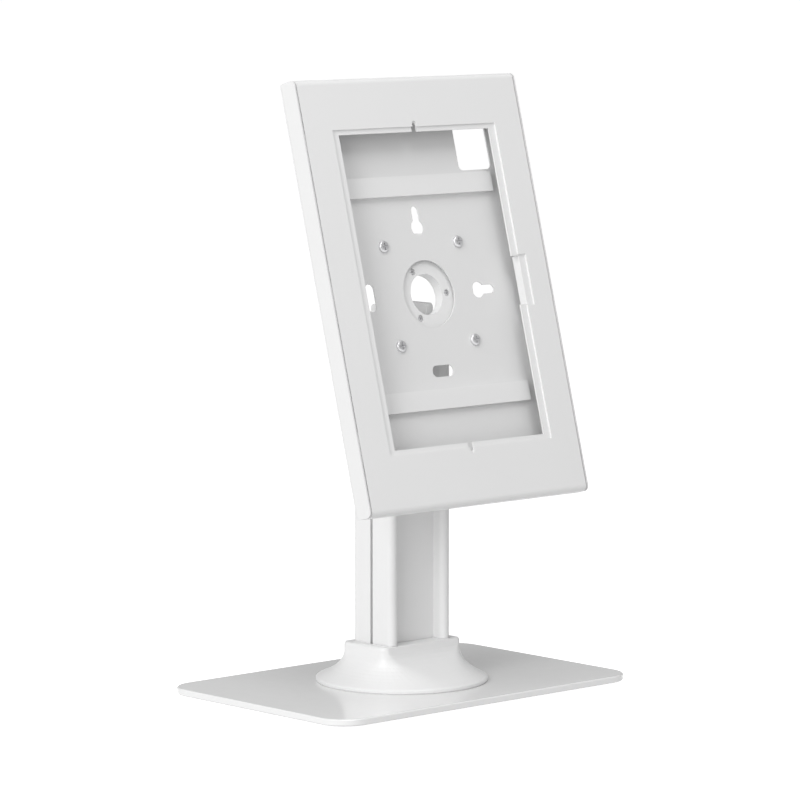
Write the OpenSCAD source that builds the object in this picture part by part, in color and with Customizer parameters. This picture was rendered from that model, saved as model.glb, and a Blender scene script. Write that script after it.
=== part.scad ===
// Tablet security kiosk stand: a steel base, an extruded column with a moulded collar, a tilting and
// turning head, and a lockable sheet-metal enclosure with a window for the tablet's screen.
// Millimetres. X runs to the right as seen from the front, the window faces -Y, and +Z is up.
// The origin is on the table, under the centre of the base.

/* [Base] */
// Width of the base plate
base_w = 300; // [240:5:360]
// Depth of the base plate
base_d = 200; // [170:5:260]
// Thickness of the base plate
base_t = 5; // [5:0.5:8]
// Radius of the base plate's corners
base_r = 23; // [12:1:40]
// Bevel around the base plate's edges
base_bevel = 0.8; // [0.4:0.1:1.2]
// Diameter of the rubber feet
foot_d = 18; // [12:1:24]
// Height of the rubber feet
foot_h = 1; // [0.8:0.1:3]
// Distance of the feet's centres from the plate's edges
foot_inset = 25; // [20:1:40]

/* [Column] */
// Width of the column
column_w = 62; // [58:1:70]
// Depth of the column
column_d = 43; // [39:1:50]
// Length of the column
column_len = 240; // [200:5:320]
// Thickness of the two round-edged rails
rail_t = 9; // [8.5:0.5:10]
// Depth of the recess between the rails, front and back
recess = 10.5; // [7:0.5:11]
// Wall around the hollow core
core_wall = 2.5; // [2:0.25:3.5]
// Width of the slot in each side
slot_w = 2.5; // [2:0.1:3.5]
// Depth of the neck of the side slot
slot_neck = 2; // [1.2:0.1:2.2]
// Width of the side slot behind its neck
slot_head_w = 7; // [4.5:0.25:8]
// Depth of the side slot behind its neck
slot_head_d = 5.5; // [1.5:0.1:6]
// Diameter of the screw ports in the rails
port_d = 5.1; // [4.6:0.1:5.3]
// Height of the cable outlet's middle above the base plate
outlet_z = 54; // [52:1:80]
// Width of the cable outlet
outlet_w = 16; // [12:1:20]
// Height of the cable outlet
outlet_h = 30; // [22:1:34]

/* [Collar] */
// Radius of the collar's round foot
collar_r = 65; // [58:1:75]
// Thickness of the rim of the foot
collar_rim = 3.4; // [3:0.2:6]
// Height of the collar
collar_h = 31; // [28:1:35]
// Margin of the neck beside the column
neck_side = 9; // [6:0.5:11]
// Margin of the neck in front of the column
neck_front = 2.6; // [2.4:0.1:4]
// Radius of the neck's corners
neck_r = 5.5; // [4.5:0.5:8]
// Wall of the collar
collar_wall = 2.2; // [1.6:0.1:2.3]
// Clearance between the collar and the column
collar_gap = 0.5; // [0.2:0.05:0.6]

/* [Tilt joint] */
// Lean of the enclosure from the vertical
lean = 15; // [0:1:45]
// Height of the tilt axis above the column
axis_rise = 27; // [25:0.5:32]
// Half width of the yoke's ears
ear_r = 13; // [12:0.5:15]
// Height of the yoke's ears above the tilt axis
ear_top = 18.5; // [15:0.5:19]
// Radius of the ears' upper corners
ear_corner = 3; // [2:0.5:8]
// Thickness of the yoke's ears
ear_t = 6; // [4:0.5:7]
// Thickness of the yoke's foot
yoke_t = 6; // [4:0.5:7]
// Width of the head's lug between the ears
lug_w = 25; // [20:0.5:26]
// Radius of the lug around the tilt bolt
lug_r = 12; // [9:0.5:12.5]
// Diameter of the tilt bolt
bolt_d = 7.9; // [5.9:0.1:9.9]
// Running clearance of the tilt bolt, on the radius
bolt_gap = 0.05; // [0.03:0.01:0.1]
// Thickness of the friction washers beside the lug
brake_t = 1; // [0.6:0.1:1.5]

/* [Turning joint] */
// Height of the enclosure's middle above the tilt axis, along the enclosure
head_rise = 19; // [17:0.5:24]
// Distance from the tilt axis to the enclosure's back
head_reach = 35; // [33:0.5:42]
// Radius of the cable bore through the head
bore_r = 15.7; // [12:0.1:16]
// Radius of the head's spigot
spigot_r = 23.9; // [23:0.1:25]
// Running clearance of the spigot in its plate, on the radius
spigot_gap = 0.08; // [0.03:0.01:0.1]
// Radius of the head's flange
flange_r = 35; // [34.5:0.5:38]
// Thickness of the head's flange
flange_t = 2.5; // [2:0.25:3.5]
// Width and height of the mounting plate
vesa_plate_w = 92; // [88:1:110]
// Thickness of the mounting plate
vesa_plate_t = 7; // [6.5:0.25:9]
// Radius of the mounting plate's corners
vesa_plate_r = 8; // [4:1:14]
// Spacing of the four mounting screws
vesa_pitch = 75; // [75:25:75]
// Radius of the retaining disc
disc_r = 28.8; // [28:0.1:29.5]
// Thickness of the retaining disc
disc_t = 3; // [2.6:0.1:3.4]
// Depth of the retaining disc behind the enclosure's back
disc_depth = 1.7; // [1.2:0.1:2]
// Thickness of the slip washers of the turning joint
slip_t = 0.5; // [0.3:0.1:0.6]
// Play of the slip washers
slip_play = 0.05; // [0.03:0.01:0.1]
// Turn to each side that the stop pin allows
turn_max = 90; // [45:5:90]

/* [Enclosure] */
// Width over the side walls
case_w = 222.1; // [214:0.1:240]
// Height of the enclosure
case_h = 323.5; // [316:0.5:350]
// Offset of the enclosure's middle above the mounting screws
case_up = 0.25; // [-1:0.25:1]
// Depth of the enclosure
case_d = 18; // [17.5:0.25:24]
// Thickness of the sheet metal
sheet = 1.2; // [1:0.1:1.6]
// Radius of the bend between the back and the side walls
side_bend = 4; // [3:0.25:5]
// Radius of the enclosure's front edges, at top and bottom
front_bend = 4.5; // [3.5:0.25:6]
// Radius of the enclosure's rear edges, at top and bottom
rear_bend = 5; // [4:0.25:6]
// Gap between the cover and the side walls
seam = 1.1; // [0.6:0.1:1.2]
// Gap between the cover's flanges and the tray's walls
flange_gap = 0.5; // [0.4:0.1:0.8]
// Gap between the cover and the lips that it rests on
seat_gap = 0.3; // [0.2:0.05:0.4]
// Width of the tray's rest tabs, from the cover's edge
lip_w = 6.8; // [5:0.1:7]
// Length of the tray's rest tabs
rest_l = 22; // [14:1:24]
// Distance of the outer rest tabs from the enclosure's ends
rest_in = 52; // [50:1:62]

/* [Windows] */
// Width of the enclosure's front beside the window, on each side
frame_side = 29.05; // [28:0.05:34]
// Height of the enclosure's front above and below the window, on average
frame_end = 40.5; // [38:0.5:60]
// Offset of both windows above the mounting screws
window_up = 2.3; // [-2:0.1:4]
// Width that the bezel frame shows inside the window, at the sides
bezel_side = 6.25; // [3:0.25:12]
// Width that the bezel frame shows inside the window, at top and bottom
bezel_end = 3.75; // [2.5:0.25:12]
// Distance of the bezel frame's long edges from the cover's edges
bezel_inset = 12.45; // [12.2:0.05:14]
// Width of the bezel frame behind the cover, at top and bottom
bezel_hidden = 14.75; // [12:0.25:16]
// Width of the camera notches in the front cover
notch_w = 4; // [3:0.1:5]
// Depth of the camera notches
notch_d = 4.2; // [3:0.1:5]
// Depth of the side notch in the front cover
side_notch_d = 7.4; // [5:0.1:7.5]
// Length of the side notch in the front cover
side_notch_h = 39; // [30:0.5:50]
// Depth of the tab that is folded back beside the window
tab_d = 7.3; // [5:0.1:8]
// Length of the folded tab
tab_h = 37.3; // [28:0.1:38]
// Offset of the side notch above the mounting screws
tab_up = 2.5; // [0:0.1:4]

/* [Back plate openings] */
// Radius of the hole in front of the retaining disc
hub_hole_r = 25.4; // [24:0.1:27]
// Distance of the keyholes' round ends from the middle
keyhole_at = 50.3; // [46:0.1:52]
// Radius of the keyholes' round ends
keyhole_r = 6; // [4.8:0.1:6.4]
// Width of the keyholes' slots
keyhole_slot = 6.4; // [4.4:0.1:7]
// Distance of the keyholes' far ends from the middle
keyhole_end = 66.3; // [62:0.1:70]
// Distance of the two long slots from the middle
long_slot_at = 58.5; // [56:0.5:62]
// Length of the long slots
long_slot_l = 21; // [14:0.5:26]
// Width of the long slots
long_slot_w = 8.8; // [6:0.2:10]
// Width of the camera opening
camera_w = 33; // [24:0.5:36]
// Height of the camera opening
camera_h = 40; // [26:0.5:44]
// Distance of the camera opening's middle from the window's right edge
camera_in = 12.6; // [6:0.2:20]
// Distance of the camera opening's middle below the window's top edge
camera_down = 12.15; // [8:0.05:16]

/* [Support bars] */
// Distance of the support bars' ends from the edges of the cover's window
bar_inset = 1.6; // [0.6:0.1:8]
// Width of the support bars
bar_w = 15; // [10:0.5:18]
// Height of the support bars over the back plate
bar_h = 4; // [3:0.25:6]
// Thickness of the support bars
bar_t = 1.2; // [1:0.1:1.5]
// Distance of the bars' middles from the window's upper and lower edges
bar_in = 40.65; // [40.2:0.05:44]
// Offset of the bars above the mounting screws
bar_up = 0.9; // [0:0.1:1.5]

/* [Lock] */
// Distance of the lock from the side wall
lock_inset = 15.4; // [14.8:0.1:17]
// Height of the lock above the enclosure's lower edge
lock_rise = 25.5; // [24:0.5:27]
// Radius of the lock's body
lock_r = 8; // [7:0.25:8.25]
// Radius of the lock's plug
plug_r = 5; // [4:0.25:5.5]
// Running clearance of the plug, on the radius
plug_gap = 0.05; // [0.03:0.01:0.1]
// Length of the lock's body inside the enclosure
lock_len = 10; // [9:0.25:10.5]
// Length of the lock's cam from the plug's axis
cam_len = 12.3; // [11.5:0.1:12.5]
// Thickness of the lock's cam
cam_t = 1.5; // [1.2:0.1:1.8]

/* [Cover hooks] */
// Inner radius of the two hooks, about the cover's front left edge
hook_r = 8; // [7.8:0.1:9]
// Thickness of the hooks
hook_t = 1.2; // [1:0.1:1.5]
// Length of each hook along the edge
hook_l = 16; // [10:1:24]
// Length of the hooks' feet, which are welded to the cover
hook_pad = 3.2; // [2:0.1:3.4]
// Distance between the hooks' middles
hook_pitch = 180; // [120:2:220]

/* [Hidden] */

$fn = 64;
fine = 96;
// Overshoot of a cutting shape past the face that it cuts
over = 1;

white = [0.93, 0.93, 0.93];
pale = [0.86, 0.86, 0.87];
alloy = [0.80, 0.81, 0.82];
zinc = [0.66, 0.67, 0.69];
dark = [0.22, 0.22, 0.23];
black = [0.08, 0.08, 0.09];

// Heights along the column
plate_z = foot_h;
plate_top = plate_z + base_t;
column_top = plate_top + column_len;
axis_z = column_top + axis_rise;

// Column section
rail_x = (column_w - rail_t) / 2;
lobe_y = (column_d - rail_t) / 2;
core_d = column_d - 2 * recess;
core_in_w = column_w - 2 * rail_t - 2 * core_wall;
core_in_d = core_d - 2 * core_wall;

// Screws of the column
column_screw_d = port_d - 0.1;
column_screw_l = 20;
column_head_d = 8.8;
column_head_h = 2.8;
screw_play = 0.3;

// Tilt joint, outwards from its middle
brake_in = lug_w / 2 + 0.05;
ear_in = lug_w / 2 + brake_t;
ear_out = ear_in + ear_t;
washer_t = 1.5;
washer_out = ear_out + washer_t;
bolt_hole_r = bolt_d / 2 + bolt_gap;
hex_af = 1.65 * bolt_d;
nut_t = 0.82 * bolt_d;
bolt_head_t = 0.67 * bolt_d;
bolt_tail = 2;

// Turning joint, backwards from the enclosure's back
disc_front = -disc_depth;
disc_back = disc_front - disc_t;
ledge_front = disc_back - slip_t;
plate_back = -vesa_plate_t;
flange_front = plate_back - slip_t;
flange_back = flange_front - flange_t;
plate_counterbore_r = disc_r + 0.4;
disc_screw_at = 20.3;
disc_screw_r = 1.45;
disc_head_r = 2.1;
disc_head_h = 1.4;
disc_head_gap = 0.5;
disc_head_sink = 0.3;
disc_seat = disc_front - disc_head_h - disc_head_sink;
disc_screw_end = flange_back + 1;
pin_r = 1.25;
pin_at = plate_counterbore_r + pin_r + 1.5;
groove_half = pin_r + 0.25;
groove_depth = 1.6;

// Mounting screws
screw_r = 2;
screw_head_r = 4.5;
screw_head_h = 2.3;
screw_len = 5;

// Enclosure, in its own directions: X across, Y up its face, Z out of its face
case_top = case_up + case_h / 2;
case_bottom = case_up - case_h / 2;
wall_in = case_w / 2 - sheet;
cover_half = wall_in - seam;
window_w = case_w - 2 * frame_side;
window_h = case_h - 2 * frame_end;
bezel_window_w = window_w - 2 * bezel_side;
bezel_window_h = window_h - 2 * bezel_end;
bezel_w = 2 * (cover_half - bezel_inset);
bezel_h = window_h + 2 * bezel_hidden;
bar_half = window_w / 2 - bar_inset;
bar_at = window_h / 2 - bar_in;
cover_back = case_d - sheet;
bezel_back = cover_back - sheet;
tray_top = case_top - sheet - flange_gap;
tray_bottom = case_bottom + sheet + flange_gap;
lip_top = cover_back - seat_gap;
lip_edge = cover_half - lip_w;
rest_rows = [case_bottom + rest_in, case_up, case_top - rest_in];
window_top = window_up + window_h / 2;
window_bottom = window_up - window_h / 2;
bezel_top = window_up + bezel_window_h / 2;
bezel_bottom = window_up - bezel_window_h / 2;
notch_x = -0.5;
bezel_notch_w = notch_w + 1.2;
bezel_notch_d = notch_d + (window_h - bezel_window_h) / 2 - 1;
tab_x = bezel_window_w / 2 + tab_d;

camera_x = window_w / 2 - camera_in;
camera_y = window_top - camera_down;

// Studs and nuts that hold the bezel frame to the cover
stud_r = 1.5;
stud_inset = 4;
stud_x = bezel_w / 2 - stud_inset;
stud_low_in = 7;
stud_top_in = 9.5;
stud_mid_up = 46;
stud_rows = [window_bottom + stud_low_in, window_up + stud_mid_up, window_top - stud_top_in];
nut_af = 5.5;
nut_h = 2.4;
nut_tail = 0.6;

// Lock
lock_x = wall_in - lock_inset;
lock_y = case_bottom + lock_rise;
lock_flange_r = lock_r + 1.5;
lock_flange_t = 2;
lock_nut_t = 2.5;
plug_head_r = plug_r + 1;
plug_head_t = 1;
plug_square = 1.1 * plug_r;
cam_base = lock_len + 0.1;
cam_w = 8;
cam_screw_r = 1.5;
cam_head_r = 3.4;
cam_head_h = 2;
strike_leg = cover_half - 0.5;
strike_in = lock_x + lock_r + 0.6;
strike_t = 1.2;
strike_top = cam_base - 0.4;
strike_w = 12;

// Collar rings
collar_steps = 12;
collar_corner = 12;
neck_x = column_w / 2 + neck_side;
neck_y = column_d / 2 + neck_front;
crown_side = 1.6;
crown_front = 0.8;
crown_h = 2.2;
rim_round = 0.8;
flare_side = 2.6;
flare_front = 2.1;
flare_corner = 1.9;

module rounded_square(w, h, r) {
  square([w - 2 * r, h], center = true);
  square([w, h - 2 * r], center = true);
  for (sx = [-1, 1], sy = [-1, 1]) {
    translate([sx * (w / 2 - r), sy * (h / 2 - r)]) circle(r = r);
  }
}

module obround(w, h) {
  r = min(w, h) / 2;
  if (w > h) square([w - h, h], center = true);
  if (h > w) square([w, h - w], center = true);
  for (s = [-1, 1]) {
    translate([s * (w / 2 - r), s * (h / 2 - r)]) circle(r = r);
  }
}

// Half section of a slab whose upper and lower edges are bevelled
function bevel_section(half, t, e) = [
  [0, 0], [half - e, 0], [half, e], [half, t - e], [half - e, t], [0, t]
];

module bevelled_bar(w, t, e, length) {
  rotate([90, 0, 0]) linear_extrude(length, center = true) {
    polygon(bevel_section(w / 2, t, e));
    mirror([1, 0]) polygon(bevel_section(w / 2, t, e));
  }
}

// Plate with round corners and bevelled edges, built from two crossing bars and four corner discs
module bevelled_plate(w, d, t, r, e) {
  bevelled_bar(w, t, e, d - 2 * r);
  rotate(90) bevelled_bar(d, t, e, w - 2 * r);
  for (sx = [-1, 1], sy = [-1, 1]) {
    translate([sx * (w / 2 - r), sy * (d / 2 - r), 0]) rotate_extrude($fn = fine) polygon(bevel_section(r, t, e));
  }
}

module ring(outer, inner, h) {
  difference() {
    cylinder(r = outer, h = h);
    translate([0, 0, -over]) cylinder(r = inner, h = h + 2 * over);
  }
}

module hexagon(af, h) {
  cylinder(r = af / sqrt(3), h = h, $fn = 6);
}

// Rounded shoulder of a pan head with its seat at z = 0
function shoulder(r, h) = [
  for (i = [0:5]) [r * (0.55 + 0.45 * cos(18 * i)), h * (0.4 + 0.6 * sin(18 * i))]
];

module pan_head(r, h) {
  rotate_extrude($fn = 48) polygon(concat([[0, 0], [r, 0]], shoulder(r, h), [[0, h]]));
}

module cross_recess(w, depth) {
  for (a = [0, 90]) {
    rotate(a) translate([-w / 2, -w / 9, -depth]) cube([w, 2 * w / 9, depth + over]);
  }
}

// Pan-head screw with its seat at z = 0 and its shank down -Z
module pan_screw(r, length, head_r, head_h) {
  difference() {
    pan_head(head_r, head_h);
    translate([0, 0, head_h]) cross_recess(head_r * 1.15, head_h * 0.6);
  }
  translate([0, 0, -length]) cylinder(r = r, h = length);
}

// Countersunk screw with its flat top at z = 0 and its shank down -Z
module countersunk_screw(d, length, head_d, head_h) {
  difference() {
    rotate_extrude($fn = 48) polygon([
      [0, 0], [head_d / 2, 0], [head_d / 2, -0.4], [d / 2, -head_h], [d / 2, -length], [0, -length]
    ]);
    translate([0, 0, -head_h * 0.7]) hexagon(head_d * 0.36, head_h);
  }
}

module at_column_screws() {
  for (sx = [-1, 1], sy = [-1, 1]) {
    translate([sx * rail_x, sy * lobe_y, 0]) children();
  }
}

// Base

module base_plate() {
  color(white) translate([0, 0, plate_z]) difference() {
    bevelled_plate(base_w, base_d, base_t, base_r, base_bevel);
    at_column_screws() {
      translate([0, 0, -over]) cylinder(d = column_screw_d + screw_play, h = base_t + 2 * over);
      rotate_extrude() polygon([
        [0, -over], [column_head_d / 2 + screw_play, -over], [column_head_d / 2 + screw_play, 0.4],
        [column_screw_d / 2 + screw_play, column_head_h], [0, column_head_h]
      ]);
    }
  }
}

module base_feet() {
  color(dark) for (sx = [-1, 1], sy = [-1, 1]) {
    translate([sx * (base_w / 2 - foot_inset), sy * (base_d / 2 - foot_inset), 0]) cylinder(d = foot_d, h = foot_h);
  }
}

// Column

module column_outline(grow = 0) {
  for (sx = [-1, 1]) {
    translate([sx * rail_x, 0]) {
      square([rail_t + 2 * grow, 2 * lobe_y], center = true);
      for (sy = [-1, 1]) {
        translate([0, sy * lobe_y]) circle(d = rail_t + 2 * grow);
      }
    }
  }
  square([2 * rail_x, core_d + 2 * grow], center = true);
}

module side_slot() {
  translate([column_w / 2 - slot_neck, -slot_w / 2]) square([slot_neck + over, slot_w]);
  translate([column_w / 2 - slot_neck - slot_head_d, -slot_head_w / 2]) square([slot_head_d, slot_head_w]);
}

module column() {
  color(white) translate([0, 0, plate_top]) difference() {
    linear_extrude(column_len) difference() {
      column_outline();
      square([core_in_w, core_in_d], center = true);
      side_slot();
      mirror([1, 0]) side_slot();
      at_column_screws() circle(d = port_d);
    }
    translate([0, 0, outlet_z]) rotate([-90, 0, 0]) linear_extrude(column_d) obround(outlet_w, outlet_h);
  }
}

module column_foot_screws() {
  color(zinc) translate([0, 0, plate_z]) at_column_screws() mirror([0, 0, 1]) {
    countersunk_screw(column_screw_d, column_screw_l, column_head_d, column_head_h);
  }
}

// Rubber edging of the cable outlet in the rear web, with a lip on both faces of the web
module cable_grommet() {
  lip = 1.4;
  edge = 1.5;
  color(black) translate([0, core_in_d / 2, plate_top + outlet_z]) rotate([-90, 0, 0]) difference() {
    union() {
      linear_extrude(core_wall) obround(outlet_w, outlet_h);
      translate([0, 0, core_wall]) linear_extrude(lip) obround(outlet_w + 2 * lip, outlet_h + 2 * lip);
      translate([0, 0, -lip]) linear_extrude(lip) obround(outlet_w + 2 * lip, outlet_h + 2 * lip);
    }
    translate([0, 0, -lip - over]) linear_extrude(core_wall + 2 * lip + 2 * over) {
      obround(outlet_w - 2 * edge, outlet_h - 2 * edge);
    }
  }
}

// Collar: rounded-rectangle neck that flares into a round foot

function ring_points(z, a, b, r) = [
  for (q = [0:3], i = [0:collar_corner])
    let (t = 90 * q + 90 * i / collar_corner)
    let (sx = (q == 0 || q == 3) ? 1 : -1)
    let (sy = (q < 2) ? 1 : -1)
    [sx * (a - r) + r * cos(t), sy * (b - r) + r * sin(t), z]
];

module loft(rings) {
  n = 4 * (collar_corner + 1);
  last = len(rings) - 1;
  points = [for (g = rings) each ring_points(g[0], g[1], g[2], g[3])];
  sides = [
    for (k = [0:last - 1], i = [0:n - 1])
      let (j = (i + 1) % n)
      each [[k * n + i, (k + 1) * n + j, k * n + j], [k * n + i, (k + 1) * n + i, (k + 1) * n + j]]
  ];
  bottom = [for (i = [0:n - 1]) i];
  top = [for (i = [n - 1:-1:0]) last * n + i];
  polyhedron(points = points, faces = concat([bottom], sides, [top]), convexity = 6);
}

// Ring at a height u of 0 at the foot to 1 at the neck: its corners open before its front, and its sides last
function flare_ring(u, z0, h, foot, a, b, r) = [
  z0 + h * u,
  a + (foot - a) * pow(1 - u, flare_side),
  b + (foot - b) * pow(1 - u, flare_front),
  r + (foot - 0.5 - r) * pow(1 - u, flare_corner)
];

module collar_body(inset, top) {
  foot = collar_r - inset;
  a = neck_x - inset;
  b = neck_y - inset;
  r = neck_r - inset;
  rim = collar_rim - inset;
  edge = foot - rim_round;
  crown = inset > 0 ? 0 : 1;
  h = top - crown * crown_h - rim;
  loft(concat(
    crown == 0 ? [[-over, edge, edge, edge - 0.5]] : [
      [0, edge, edge, edge - 0.5],
      [rim_round, foot, foot, foot - 0.5],
      [rim - rim_round, foot, foot, foot - 0.5]
    ],
    [for (i = [0:collar_steps]) flare_ring(pow(i / collar_steps, 1.6), rim, h, edge, a, b, r)],
    crown == 0 ? [] : [
      [top - crown_h * 0.4, a - crown_side * 0.3, b - crown_front * 0.25, r],
      [top - crown_h * 0.1, a - crown_side * 0.75, b - crown_front * 0.7, r - 1],
      [top, a - crown_side, b - crown_front, r - 2]
    ]
  ));
}

module collar() {
  color(white) translate([0, 0, plate_top]) difference() {
    collar_body(0, collar_h);
    collar_body(collar_wall, collar_h - 3);
    translate([0, 0, -over]) linear_extrude(collar_h + 2 * over) column_outline(collar_gap);
  }
}

// Tilt joint

module at_tilt_axis() {
  translate([0, 0, axis_z]) rotate([90, 0, 90]) children();
}

module yoke_ear(side) {
  low = column_top + yoke_t / 2;
  high = axis_z + ear_top;
  translate([side > 0 ? ear_in : -ear_out, 0, 0]) rotate([90, 0, 90]) linear_extrude(ear_t) {
    translate([-ear_r, low]) square([2 * ear_r, high - ear_corner - low]);
    translate([-ear_r + ear_corner, low]) square([2 * (ear_r - ear_corner), high - low]);
    for (s = [-1, 1]) {
      translate([s * (ear_r - ear_corner), high - ear_corner]) circle(r = ear_corner);
    }
  }
}

module tilt_yoke() {
  color(white) difference() {
    union() {
      translate([0, 0, column_top]) linear_extrude(yoke_t) rounded_square(column_w, column_d, rail_t / 2);
      yoke_ear(1);
      yoke_ear(-1);
    }
    translate([0, 0, column_top - over]) linear_extrude(yoke_t + 2 * over) {
      at_column_screws() circle(d = column_screw_d + screw_play);
      rounded_square(2 * ear_in - 3, core_in_d, 3);
    }
    at_tilt_axis() cylinder(r = bolt_hole_r, h = 4 * ear_out, center = true);
  }
}

module yoke_screws() {
  color(zinc) translate([0, 0, column_top + yoke_t]) at_column_screws() {
    pan_screw(column_screw_d / 2, column_screw_l, column_head_d / 2, column_head_h);
  }
}

module tilt_bolt() {
  color(zinc) at_tilt_axis() {
    translate([0, 0, -washer_out]) cylinder(d = bolt_d, h = 2 * washer_out + nut_t + bolt_tail);
    translate([0, 0, -washer_out - bolt_head_t]) hexagon(hex_af, bolt_head_t);
  }
}

module tilt_nut() {
  color(zinc) at_tilt_axis() translate([0, 0, washer_out]) difference() {
    union() {
      hexagon(hex_af, nut_t * 0.75);
      cylinder(d = hex_af * 0.92, h = nut_t);
    }
    translate([0, 0, -over]) cylinder(r = bolt_hole_r, h = nut_t + 2 * over);
  }
}

module bolt_washers() {
  color(zinc) at_tilt_axis() {
    translate([0, 0, ear_out]) ring(bolt_d, bolt_hole_r, washer_t);
    translate([0, 0, -washer_out]) ring(bolt_d, bolt_hole_r, washer_t);
  }
}

module brake_washers() {
  color(black) at_tilt_axis() {
    translate([0, 0, brake_in]) ring(lug_r - 1, bolt_hole_r, ear_in - brake_in);
    translate([0, 0, -ear_in]) ring(lug_r - 1, bolt_hole_r, ear_in - brake_in);
  }
}

// Enclosure's own directions, with its origin on its back, in the middle of the mounting screws
module on_panel() {
  translate([0, 0, axis_z]) rotate([90 - lean, 0, 0]) translate([0, head_rise, head_reach]) children();
}

module at_disc_screws() {
  for (a = [0, 120, 240]) {
    rotate(a) translate([disc_screw_at, 0, 0]) children();
  }
}

// Lug between the head's flange and the tilt bolt, as an outline across the bolt
module lug_outline() {
  eye = [-head_rise, -head_reach];
  low = -flange_r + 1.5;
  high = -bore_r - 0.9;
  difference() {
    union() {
      translate(eye) circle(r = lug_r, $fn = fine);
      polygon([
        [low, flange_back + flange_t / 2], [high, flange_back + flange_t / 2], [high, flange_back],
        eye + lug_r * [cos(38), sin(38)], eye, eye + lug_r * [cos(164), sin(164)], [low, flange_back]
      ]);
    }
    translate(eye) circle(r = bolt_hole_r);
  }
}

module tilt_head() {
  color(pale) on_panel() difference() {
    union() {
      translate([0, 0, flange_back]) cylinder(r = flange_r, h = flange_t, $fn = fine);
      translate([0, 0, flange_back]) cylinder(r = spigot_r, h = disc_back - flange_back, $fn = fine);
      translate([-lug_w / 2, 0, 0]) rotate([90, 0, 90]) linear_extrude(lug_w) lug_outline();
    }
    translate([0, 0, flange_back - over]) cylinder(r = bore_r, h = disc_back - flange_back + 2 * over);
    at_disc_screws() translate([0, 0, disc_screw_end - 0.4]) cylinder(r = disc_screw_r + 0.05, h = disc_back - flange_back);
    translate([0, -pin_at, flange_back - over]) cylinder(r = pin_r, h = flange_t + 2 * over);
  }
}

module turn_stop_pin() {
  color(zinc) on_panel() translate([0, -pin_at, flange_back]) {
    cylinder(r = pin_r, h = plate_back - flange_back + groove_depth - 0.3);
  }
}

module rear_slip_washer() {
  color(black) on_panel() translate([0, 0, flange_front]) {
    ring(disc_r - 0.3, spigot_r + 0.3, slip_t - slip_play);
  }
}

module front_slip_washer() {
  color(black) on_panel() translate([0, 0, ledge_front + slip_play]) {
    ring(disc_r - 0.1, spigot_r + 0.3, slip_t - slip_play);
  }
}

module retaining_disc() {
  color(pale) on_panel() difference() {
    translate([0, 0, disc_back]) ring(disc_r, bore_r, disc_t);
    at_disc_screws() {
      translate([0, 0, disc_back - over]) cylinder(r = disc_screw_r + 0.05, h = disc_t + 2 * over);
      translate([0, 0, disc_seat]) cylinder(r = disc_head_r + disc_head_gap, h = 2 * disc_head_h);
    }
  }
}

module disc_screws() {
  color(zinc) on_panel() translate([0, 0, disc_seat]) at_disc_screws() {
    pan_screw(disc_screw_r, disc_seat - disc_screw_end, disc_head_r, disc_head_h);
  }
}

module at_mounting_screws() {
  for (sx = [-1, 1], sy = [-1, 1]) {
    translate([sx * vesa_pitch / 2, sy * vesa_pitch / 2, 0]) children();
  }
}

// Groove of the stop pin, as long as the turn that it allows
module stop_groove() {
  margin = asin((pin_r + 0.25) / pin_at);
  rotate(-90 - turn_max - margin) rotate_extrude(angle = 2 * (turn_max + margin), $fn = fine) {
    translate([pin_at - groove_half, 0]) square([2 * groove_half, groove_depth + over]);
  }
}

module mounting_plate() {
  color(pale) on_panel() difference() {
    translate([0, 0, plate_back]) linear_extrude(vesa_plate_t) rounded_square(vesa_plate_w, vesa_plate_w, vesa_plate_r);
    translate([0, 0, ledge_front]) cylinder(r = plate_counterbore_r, h = over - ledge_front, $fn = fine);
    translate([0, 0, plate_back - over]) cylinder(r = spigot_r + spigot_gap, h = vesa_plate_t, $fn = fine);
    translate([0, 0, plate_back - over]) stop_groove();
    at_mounting_screws() translate([0, 0, -screw_len - 0.5]) cylinder(r = screw_r + 0.05, h = screw_len + over);
  }
}

module mounting_screws() {
  color(zinc) on_panel() translate([0, 0, sheet]) at_mounting_screws() {
    pan_screw(screw_r, screw_len + sheet, screw_head_r, screw_head_h);
  }
}

// Enclosure

// Side view of the enclosure: front edges and rear edges have their own radii
module case_outline() {
  top = case_top;
  bottom = case_bottom;
  translate([bottom + rear_bend, 0]) square([case_h - 2 * rear_bend, case_d / 2]);
  translate([bottom, rear_bend]) square([case_h, case_d - rear_bend - front_bend]);
  translate([bottom + front_bend, case_d / 2]) square([case_h - 2 * front_bend, case_d / 2]);
  for (y = [bottom + rear_bend, top - rear_bend]) {
    translate([y, rear_bend]) circle(r = rear_bend);
  }
  for (y = [bottom + front_bend, top - front_bend]) {
    translate([y, case_d - front_bend]) circle(r = front_bend);
  }
}

// Section of a trough that is open to the front, with bends of radius r along the back
module trough(half, floor_z, r) {
  translate([-half, floor_z + r]) square([2 * half, case_d + over - r]);
  translate([-half + r, floor_z]) square([2 * (half - r), case_d + over]);
  for (s = [-1, 1]) {
    translate([s * (half - r), floor_z + r]) circle(r = r);
  }
}

// Runs a side view along the enclosure's width
module across(half) {
  rotate([90, 0, 90]) linear_extrude(2 * half, center = true) children();
}

// Runs a section along the enclosure's height
module along(low, high) {
  translate([0, high, 0]) rotate([90, 0, 0]) linear_extrude(high - low) children();
}

module keyhole() {
  translate([0, keyhole_at]) circle(r = keyhole_r);
  translate([-keyhole_slot / 2, keyhole_at]) square([keyhole_slot, keyhole_end - keyhole_at - keyhole_slot / 2]);
  translate([0, keyhole_end - keyhole_slot / 2]) circle(d = keyhole_slot);
}

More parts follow.
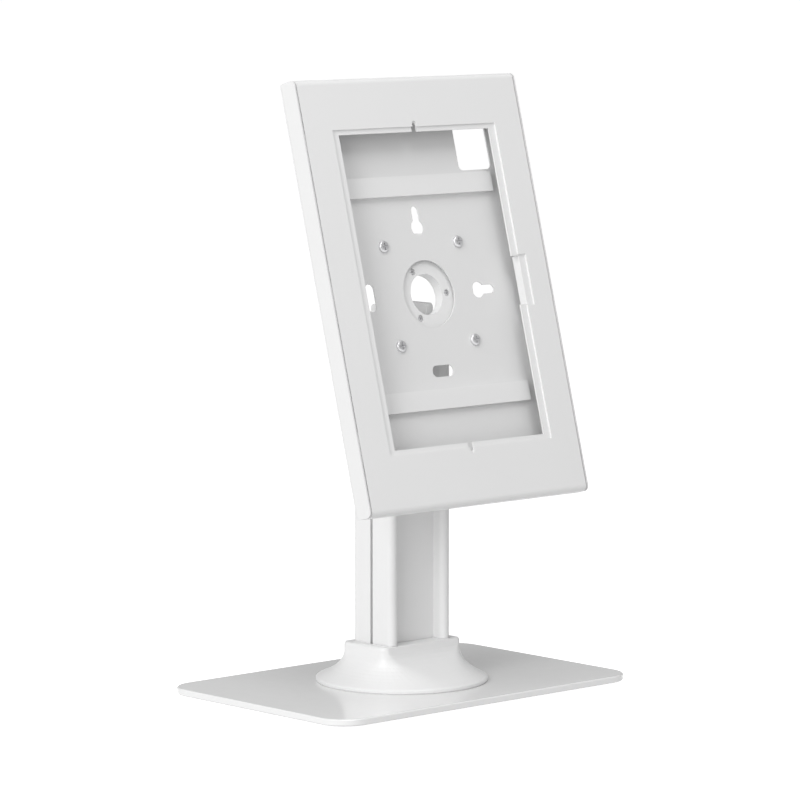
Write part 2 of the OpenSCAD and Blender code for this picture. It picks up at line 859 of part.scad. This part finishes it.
module back_openings() {
  circle(r = hub_hole_r, $fn = fine);
  at_mounting_screws() circle(r = screw_r + 0.25);
  keyhole();
  rotate(-90) keyhole();
  translate([-long_slot_at, 0]) obround(long_slot_w, long_slot_l);
  translate([0, -long_slot_at]) obround(long_slot_l, long_slot_w);
  translate([camera_x, camera_y]) rounded_square(camera_w, camera_h, 4);
  translate([lock_x, lock_y]) circle(r = lock_r + 0.05);
}

// Tabs of the tray's walls that the closed cover rests on
module rest_tabs() {
  for (y = rest_rows, s = [0, 1]) {
    mirror([s, 0, 0]) translate([lip_edge, y - rest_l / 2, lip_top - sheet]) {
      cube([wall_in - lip_edge + 0.01, rest_l, sheet]);
    }
  }
}

module rear_tray() {
  color(white) on_panel() {
    difference() {
      intersection() {
        along(case_bottom, case_top) trough(case_w / 2, 0, side_bend);
        across(case_w) case_outline();
      }
      intersection() {
        along(case_bottom, case_top) trough(wall_in, sheet, side_bend - sheet);
        across(case_w) {
          translate([tray_bottom + sheet, sheet]) square([tray_top - tray_bottom - 2 * sheet, case_d]);
        }
      }
      for (y = [case_bottom - over, tray_top]) {
        translate([-wall_in, y, -over]) cube([2 * wall_in, tray_bottom - case_bottom + over, case_d + 2 * over]);
      }
      translate([-wall_in, case_bottom, lip_top]) cube([2 * wall_in, case_h, case_d]);
      for (y = [case_bottom, tray_top - sheet - over]) {
        translate([-wall_in, y, case_d - front_bend]) {
          cube([2 * wall_in, tray_bottom - case_bottom + sheet + over, case_d]);
        }
      }
      translate([0, 0, -over]) linear_extrude(sheet + 2 * over) back_openings();
    }
    rest_tabs();
  }
}

module bar_section() {
  translate([-bar_w / 2, bar_h - bar_t]) square([bar_w, bar_t]);
  for (s = [-1, 1]) {
    translate([s * (bar_w - bar_t) / 2 - bar_t / 2, 0]) square([bar_t, bar_h]);
  }
}

module support_bar(y) {
  translate([0, y, sheet]) across(bar_half) bar_section();
}

module upper_support_bar() {
  color(pale) on_panel() support_bar(bar_up + bar_at);
}

module lower_support_bar() {
  color(pale) on_panel() support_bar(bar_up - bar_at);
}

// Front sheet whose top and bottom are bent back into flanges
module cover_section() {
  difference() {
    case_outline();
    translate([case_bottom + sheet, -over]) square([case_h - 2 * sheet, cover_back - front_bend + sheet + over]);
    translate([case_bottom + front_bend, -over]) square([case_h - 2 * front_bend, cover_back + over]);
    for (y = [case_bottom + front_bend, case_top - front_bend]) {
      translate([y, case_d - front_bend]) circle(r = front_bend - sheet);
    }
    translate([case_bottom - over, -over]) square([case_h + 2 * over, over + rear_bend]);
  }
}

module cover_openings() {
  translate([0, window_up]) square([window_w, window_h], center = true);
  translate([notch_x, window_top]) obround(notch_w, 2 * notch_d);
  translate([notch_x, window_bottom]) obround(notch_w, 2 * notch_d);
  translate([window_w / 2, tab_up]) square([2 * side_notch_d, side_notch_h], center = true);
}

module at_studs() {
  for (s = [-1, 1], y = stud_rows) {
    translate([s * stud_x, y, 0]) children();
  }
}

module front_cover() {
  color(white) on_panel() {
    difference() {
      across(cover_half) cover_section();
      translate([0, 0, cover_back - over]) linear_extrude(sheet + 2 * over) cover_openings();
    }
    translate([0, 0, bezel_back - nut_h - nut_tail]) at_studs() {
      cylinder(r = stud_r, h = cover_back - bezel_back + nut_h + nut_tail + sheet / 2);
    }
  }
}

module bezel_frame() {
  color(white) on_panel() {
    translate([0, 0, bezel_back]) linear_extrude(sheet) difference() {
      translate([0, window_up]) square([bezel_w, bezel_h], center = true);
      translate([0, window_up]) square([bezel_window_w, bezel_window_h], center = true);
      translate([notch_x, bezel_top]) obround(bezel_notch_w, 2 * bezel_notch_d);
      translate([notch_x, bezel_bottom]) obround(bezel_notch_w, 2 * bezel_notch_d);
      translate([bezel_window_w / 2, tab_up]) square([2 * tab_d, tab_h], center = true);
      at_studs() circle(r = stud_r + 0.1);
    }
    translate([tab_x, tab_up - tab_h / 2, cover_back - tab_d]) cube([sheet, tab_h, tab_d]);
  }
}

module bezel_nuts() {
  color(zinc) on_panel() translate([0, 0, bezel_back - nut_h]) at_studs() difference() {
    hexagon(nut_af, nut_h);
    translate([0, 0, -over]) cylinder(r = stud_r + 0.05, h = nut_h + 2 * over);
  }
}

// Hook that is curved about the cover's front left edge, so the cover can swing on it
module hook_outline() {
  big = 4 * hook_r;
  difference() {
    circle(r = hook_r + hook_t);
    circle(r = hook_r);
    translate([-big, -sheet]) square([2 * big, big]);
    rotate(-80) translate([-big, -big]) square([2 * big, big]);
  }
  translate([hook_r + hook_t / 2, -sheet - hook_t]) square([hook_pad, hook_t]);
}

module cover_hook() {
  rotate([90, 0, 0]) linear_extrude(hook_l, center = true) hook_outline();
}

module cover_hooks() {
  color(pale) on_panel() for (s = [-1, 1]) {
    translate([-cover_half, s * hook_pitch / 2, case_d]) cover_hook();
  }
}

module lock_strike() {
  color(pale) on_panel() translate([0, lock_y - strike_w / 2, 0]) {
    translate([strike_in - 3, 0, cover_back - strike_t]) cube([strike_leg - strike_in + 3, strike_w, strike_t]);
    translate([strike_leg - strike_t, 0, strike_top - strike_t]) {
      cube([strike_t, strike_w, cover_back - strike_top + strike_t]);
    }
    translate([strike_in, 0, strike_top - strike_t]) cube([strike_leg - strike_in, strike_w, strike_t]);
  }
}

// Lock

module at_lock() {
  on_panel() translate([lock_x, lock_y, 0]) children();
}

module lock_body() {
  color(zinc) at_lock() difference() {
    union() {
      translate([0, 0, -lock_flange_t]) cylinder(r = lock_flange_r, h = lock_flange_t);
      cylinder(r = lock_r, h = lock_len);
    }
    translate([0, 0, -lock_flange_t - over]) cylinder(r = plug_r + plug_gap, h = lock_len + lock_flange_t + 2 * over);
    translate([0, 0, -lock_flange_t - over]) cylinder(r = plug_head_r + plug_gap, h = plug_head_t + over + 0.05);
  }
}

module lock_nut() {
  color(zinc) at_lock() translate([0, 0, sheet]) difference() {
    hexagon(2 * lock_r + 3, lock_nut_t);
    translate([0, 0, -over]) cylinder(r = lock_r + 0.05, h = lock_nut_t + 2 * over);
  }
}

module lock_plug() {
  color(alloy) at_lock() difference() {
    union() {
      translate([0, 0, -lock_flange_t]) cylinder(r = plug_r, h = lock_len + lock_flange_t);
      translate([0, 0, -lock_flange_t]) cylinder(r = plug_head_r, h = plug_head_t);
      translate([-plug_square / 2, -plug_square / 2, lock_len - over]) cube([plug_square, plug_square, cam_t + over + 0.1]);
    }
    translate([-plug_r * 0.65, -0.7, -lock_flange_t - over]) cube([plug_r * 1.3, 1.4, over + 5]);
    translate([0, 0, lock_len - 4]) cylinder(r = cam_screw_r + 0.05, h = 4 + cam_t + over);
  }
}

module lock_cam() {
  color(zinc) at_lock() translate([0, 0, cam_base]) linear_extrude(cam_t) difference() {
    union() {
      circle(r = plug_r);
      translate([-cam_w / 2, -cam_len + cam_w / 2]) square([cam_w, cam_len - cam_w / 2]);
      translate([0, -cam_len + cam_w / 2]) circle(d = cam_w);
    }
    square(plug_square + 0.1, center = true);
  }
}

module cam_screw() {
  color(zinc) at_lock() translate([0, 0, cam_base + cam_t]) {
    pan_screw(cam_screw_r, cam_t + 3.5, cam_head_r, cam_head_h);
  }
}

base_plate();
base_feet();
column();
column_foot_screws();
collar();
cable_grommet();
tilt_yoke();
yoke_screws();
tilt_bolt();
tilt_nut();
bolt_washers();
brake_washers();
tilt_head();
turn_stop_pin();
rear_slip_washer();
front_slip_washer();
retaining_disc();
disc_screws();
mounting_plate();
mounting_screws();
rear_tray();
upper_support_bar();
lower_support_bar();
front_cover();
bezel_frame();
bezel_nuts();
cover_hooks();
lock_strike();
lock_body();
lock_nut();
lock_plug();
lock_cam();
cam_screw();
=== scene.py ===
# %% [markdown]
# # A tablet kiosk stand in white powder coat
# This lesson dresses a finished CAD model for a studio picture. The CAD solids arrive as a fixed frame,
# in metres, with +Z up and the window of the enclosure facing -Y. We make the camera first, then the
# finishes, and last the floor, the lights and the sky.

# %% Load the frame
import math

import bpy
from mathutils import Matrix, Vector

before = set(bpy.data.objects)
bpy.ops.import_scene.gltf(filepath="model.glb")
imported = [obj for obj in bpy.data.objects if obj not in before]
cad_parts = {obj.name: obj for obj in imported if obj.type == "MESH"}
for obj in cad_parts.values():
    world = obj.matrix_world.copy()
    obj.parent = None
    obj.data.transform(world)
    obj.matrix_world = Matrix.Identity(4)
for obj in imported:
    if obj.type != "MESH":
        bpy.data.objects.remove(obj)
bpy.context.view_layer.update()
print("CAD nodes:", len(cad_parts))

# %% [markdown]
# ## The camera
# A product picture like this one is taken with a long lens from several metres away, so that upright
# edges stay nearly parallel. We place the camera by its heading and height angle around a target point
# near the middle of the stand. A long focal length gives the same flat perspective as the real lens,
# and two small shifts put the stand where it belongs in the square picture.

# %% Camera
CAMERA_HEADING = math.radians(-42.5)
CAMERA_HEIGHT = math.radians(6.49)
CAMERA_DISTANCE = 3.29945
LENS_MM = 198.03
SENSOR_MM = 36.0
CLIP_END = 200.0
STAND_MIDDLE = Vector((0.0, 0.0, 0.251))
SHIFT_RIGHT = 0.00146
SHIFT_UP = 0.03223

away = Vector((
    math.sin(CAMERA_HEADING) * math.cos(CAMERA_HEIGHT),
    -math.cos(CAMERA_HEADING) * math.cos(CAMERA_HEIGHT),
    math.sin(CAMERA_HEIGHT),
))
to_right = Vector((math.cos(CAMERA_HEADING), math.sin(CAMERA_HEADING), 0.0))
upward = away.cross(to_right)
target = STAND_MIDDLE - SHIFT_RIGHT * to_right - SHIFT_UP * upward

camera_data = bpy.data.cameras.new("studio_camera")
camera_data.sensor_width = SENSOR_MM
camera_data.lens = LENS_MM
camera_data.clip_end = CLIP_END
camera = bpy.data.objects.new("studio_camera", camera_data)
camera.location = target + CAMERA_DISTANCE * away
camera.rotation_euler = away.to_track_quat("Z", "Y").to_euler()
bpy.context.scene.collection.objects.link(camera)
bpy.context.scene.camera = camera
print("camera at", [round(v, 3) for v in camera.location])

# %% [markdown]
# ## A kit for finishes
# Every finish here is a Principled shader with three small procedural layers: a slow change of colour,
# a change of roughness, and a fine bump. They all read object coordinates, which are in metres, so a
# noise scale of 900 gives grains of about a millimetre. Constants such as metallic stay on the shader's
# own sockets, where an exporter finds them.

# %% Helper that builds one finish
DRIFT_ENDS = (0.3, 0.7)
DRIFT_DETAIL = 4.0
SHEEN_DETAIL = 3.0
PEEL_DETAIL = 2.0
SHEEN_PER_GRAIN = 0.25
COAT_ROUGHNESS = 0.08


def add_noise(nodes, links, place, scale, detail):
    """A noise in object coordinates; scale: per metre."""
    noise = nodes.new("ShaderNodeTexNoise")
    noise.inputs["Scale"].default_value = scale
    noise.inputs["Detail"].default_value = detail
    links.new(place.outputs["Object"], noise.inputs["Vector"])
    return noise


def finish_material(name, tint, spread, patch, rough, grain, bump, metallic=0.0, coat=0.0, specular=0.5):
    """tint: base colour; spread: how far it drifts; patch: noise scale of the drift, per metre;
    rough: (low, high) roughness; grain: noise scale of the bump, per metre; bump: its height in metres."""
    material = bpy.data.materials.new(name)
    material.use_nodes = True
    nodes, links = material.node_tree.nodes, material.node_tree.links
    shader = nodes["Principled BSDF"]
    shader.inputs["Metallic"].default_value = metallic
    shader.inputs["Coat Weight"].default_value = coat
    shader.inputs["Coat Roughness"].default_value = COAT_ROUGHNESS
    shader.inputs["Specular IOR Level"].default_value = specular

    place = nodes.new("ShaderNodeTexCoord")
    drift = add_noise(nodes, links, place, patch, DRIFT_DETAIL)
    colours = nodes.new("ShaderNodeValToRGB")
    for end, position, change in zip(colours.color_ramp.elements, DRIFT_ENDS, (-spread, spread)):
        end.position = position
        end.color = (*[min(1.0, max(0.0, c + change)) for c in tint], 1.0)
    links.new(drift.outputs["Fac"], colours.inputs["Fac"])
    links.new(colours.outputs["Color"], shader.inputs["Base Color"])

    sheen = add_noise(nodes, links, place, grain * SHEEN_PER_GRAIN, SHEEN_DETAIL)
    levels = nodes.new("ShaderNodeMapRange")
    levels.inputs["To Min"].default_value = rough[0]
    levels.inputs["To Max"].default_value = rough[1]
    links.new(sheen.outputs["Fac"], levels.inputs["Value"])
    links.new(levels.outputs["Result"], shader.inputs["Roughness"])

    peel = add_noise(nodes, links, place, grain, PEEL_DETAIL)
    relief = nodes.new("ShaderNodeBump")
    relief.inputs["Strength"].default_value = 1.0
    relief.inputs["Distance"].default_value = bump
    links.new(peel.outputs["Fac"], relief.inputs["Height"])
    links.new(relief.outputs["Normal"], shader.inputs["Normal"])
    return material


print("finish helper ready")

# %% [markdown]
# ## White powder coat
# Powder coat is sprayed dry and melted onto the steel, which leaves a very fine "orange peel". The
# enclosure, column and head have a satin coat. The rear tray's coat is painted a touch greyer, which is
# painted shade standing in for the shade inside the enclosure's recess. The base plate is smoother and
# shines a little more, and the collar is moulded plastic with hardly any texture.

# %% Whites
satin_coat = finish_material(
    "satin_coat", (0.82, 0.82, 0.82), 0.004, 14.0, (0.42, 0.50), 750.0, 0.000012)
# The rear tray's lower tint is painted shade for its back plate deep inside the window, not a different
# paint.
tray_coat_painted_shade = finish_material(
    "tray_coat_painted_shade", (0.775, 0.775, 0.775), 0.004, 14.0, (0.42, 0.50), 750.0, 0.000012)
plate_coat = finish_material(
    "plate_coat", (0.815, 0.815, 0.815), 0.004, 10.0, (0.16, 0.22), 420.0, 0.000006, coat=0.25)
collar_plastic = finish_material(
    "collar_plastic", (0.84, 0.84, 0.84), 0.003, 18.0, (0.34, 0.42), 1400.0, 0.000005)
print("white finishes:", satin_coat.name, tray_coat_painted_shade.name, plate_coat.name, collar_plastic.name)

# %% [markdown]
# ## Plated steel and polymers
# Screws and nuts are zinc plated: bright, slightly blue and never mirror smooth. The screws inside the
# enclosure have a pale zinc flake coat that scatters the light, and the lock's key face is nickel. The
# feet and the cable grommet are rubber, and the friction washers are nylon.

# %% Small-part finishes
zinc_plate = finish_material(
    "zinc_plate", (0.56, 0.57, 0.58), 0.015, 60.0, (0.30, 0.36), 1500.0, 0.0000015, metallic=1.0)
zinc_flake = finish_material(
    "zinc_flake", (0.66, 0.66, 0.67), 0.01, 60.0, (0.28, 0.34), 1500.0, 0.0000015, metallic=0.55)
bright_nickel = finish_material(
    "bright_nickel", (0.70, 0.69, 0.67), 0.02, 120.0, (0.14, 0.22), 1800.0, 0.000003, metallic=1.0)
foot_rubber = finish_material(
    "foot_rubber", (0.035, 0.035, 0.036), 0.008, 90.0, (0.70, 0.82), 1500.0, 0.00004, specular=0.3)
washer_nylon = finish_material(
    "washer_nylon", (0.05, 0.05, 0.05), 0.008, 90.0, (0.48, 0.58), 1200.0, 0.00001)
print("small-part finishes ready")

# %% [markdown]
# ## Which finish goes where
# One table says it for the whole stand. Each CAD node keeps its own mesh; only the material in its
# slots changes.

# %% Finish of every node
FINISHES = {
    "base_plate": plate_coat, "base_feet": foot_rubber, "column": satin_coat,
    "column_foot_screws": zinc_plate, "collar": collar_plastic, "cable_grommet": foot_rubber,
    "tilt_yoke": satin_coat, "yoke_screws": zinc_plate, "tilt_bolt": zinc_plate, "tilt_nut": zinc_plate,
    "bolt_washers": zinc_plate, "brake_washers": washer_nylon, "tilt_head": satin_coat,
    "turn_stop_pin": zinc_plate, "rear_slip_washer": washer_nylon, "front_slip_washer": washer_nylon,
    "retaining_disc": satin_coat, "disc_screws": zinc_flake, "mounting_plate": satin_coat,
    "mounting_screws": zinc_flake, "rear_tray": tray_coat_painted_shade, "upper_support_bar": satin_coat,
    "lower_support_bar": satin_coat, "front_cover": satin_coat, "bezel_frame": satin_coat,
    "bezel_nuts": zinc_plate, "cover_hooks": zinc_plate, "lock_strike": zinc_plate,
    "lock_body": zinc_plate, "lock_nut": zinc_plate, "lock_plug": bright_nickel, "lock_cam": zinc_plate,
    "cam_screw": zinc_plate,
}
for node, finish in FINISHES.items():
    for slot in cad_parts[node].material_slots:
        slot.material = finish
print("nodes with a finish:", len(FINISHES), "of", len(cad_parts))

# %% [markdown]
# ## The floor
# The stand is pictured on plain white. A wide pale plane is enough: it glows a little, so that it comes
# out white around the stand. Its own light is left out of the stand's shading, where the lower half of
# the sky takes its place.

# %% Floor
FLOOR_HALF = 60.0
FLOOR_GLOW = 0.60
floor_mesh = bpy.data.meshes.new("floor")
floor_mesh.from_pydata(
    [(FLOOR_HALF * x, FLOOR_HALF * y, 0.0) for x, y in ((-1, -1), (1, -1), (1, 1), (-1, 1))],
    [], [(0, 1, 2, 3)])
floor = bpy.data.objects.new("floor", floor_mesh)
bpy.context.scene.collection.objects.link(floor)
floor_paper = finish_material(
    "floor_paper", (0.86, 0.86, 0.86), 0.002, 3.0, (0.75, 0.8), 60.0, 0.00001, specular=0.1)
floor_shader = floor_paper.node_tree.nodes["Principled BSDF"]
floor_shader.inputs["Emission Color"].default_value = (1.0, 1.0, 1.0, 1.0)
floor_shader.inputs["Emission Strength"].default_value = FLOOR_GLOW
floor.visible_diffuse = False
floor.visible_shadow = False
floor_mesh.materials.append(floor_paper)
print("floor", 2 * FLOOR_HALF, "m wide")

# %% [markdown]
# ## Studio light
# Two soft lights hang to the left, one high and one low, so the side wall is the brightest face and the
# recess of the column is in shade. A weaker pair, high in front and overhead, lifts the window's frame,
# the collar and the base plate.

# %% Lights
scene = bpy.context.scene
scene.view_settings.view_transform = "Standard"
LIGHT_TARGET = Vector((0.0, 0.0, 0.25))
LIGHT_DISTANCE = 3.0


def soft_light(name, direction, size, strength):
    """size: the side of the square lamp in metres; strength: the brightness of a white surface that
    faces the lamp."""
    data = bpy.data.lights.new(name, "AREA")
    data.shape = "SQUARE"
    data.size = size
    data.energy = strength * math.pi ** 2 * LIGHT_DISTANCE ** 2
    lamp = bpy.data.objects.new(name, data)
    heading = Vector(direction).normalized()
    lamp.location = LIGHT_TARGET + LIGHT_DISTANCE * heading
    lamp.rotation_euler = heading.to_track_quat("Z", "Y").to_euler()
    scene.collection.objects.link(lamp)


soft_light("key_light", (-0.81, -0.14, 0.57), 1.0, 0.24)
soft_light("side_light", (-0.87, -0.41, 0.26), 1.0, 0.24)
soft_light("front_light", (-0.20, -0.54, 0.82), 1.0, 0.20)
soft_light("top_light", (0.00, -0.17, 0.98), 1.5, 0.15)

# %% [markdown]
# ## The sky
# The sky is a white room that is brighter on the left. Below the horizon it stands for the light that
# the white floor sends up, and its dimmer right half keeps the recess of the column in shade.

# %% Sky
SKY_ABOVE = (0.64, 0.33)
SKY_BELOW = (0.80, 0.42)
HORIZON_BLEND = 0.05
sky = bpy.data.worlds.new("white_sky")
sky.use_nodes = True
sky_nodes, sky_links = sky.node_tree.nodes, sky.node_tree.links
backdrop = sky_nodes["Background"]
backdrop.inputs["Color"].default_value = (1.0, 1.0, 1.0, 1.0)
direction = sky_nodes.new("ShaderNodeTexCoord")
split = sky_nodes.new("ShaderNodeSeparateXYZ")
sky_links.new(direction.outputs["Generated"], split.inputs["Vector"])


def left_to_right(levels):
    """levels: the sky's strength at the far left and at the far right."""
    ramp = sky_nodes.new("ShaderNodeMapRange")
    ramp.inputs["From Min"].default_value = -1.0
    ramp.inputs["From Max"].default_value = 1.0
    ramp.inputs["To Min"].default_value = levels[0]
    ramp.inputs["To Max"].default_value = levels[1]
    sky_links.new(split.outputs["X"], ramp.inputs["Value"])
    return ramp


horizon = sky_nodes.new("ShaderNodeMapRange")
horizon.inputs["From Min"].default_value = -HORIZON_BLEND
horizon.inputs["From Max"].default_value = HORIZON_BLEND
sky_links.new(split.outputs["Z"], horizon.inputs["Value"])
sky_links.new(left_to_right(SKY_BELOW).outputs["Result"], horizon.inputs["To Min"])
sky_links.new(left_to_right(SKY_ABOVE).outputs["Result"], horizon.inputs["To Max"])
sky_links.new(horizon.outputs["Result"], backdrop.inputs["Strength"])
scene.world = sky
print("sky above, left and right:", SKY_ABOVE, "below:", SKY_BELOW)
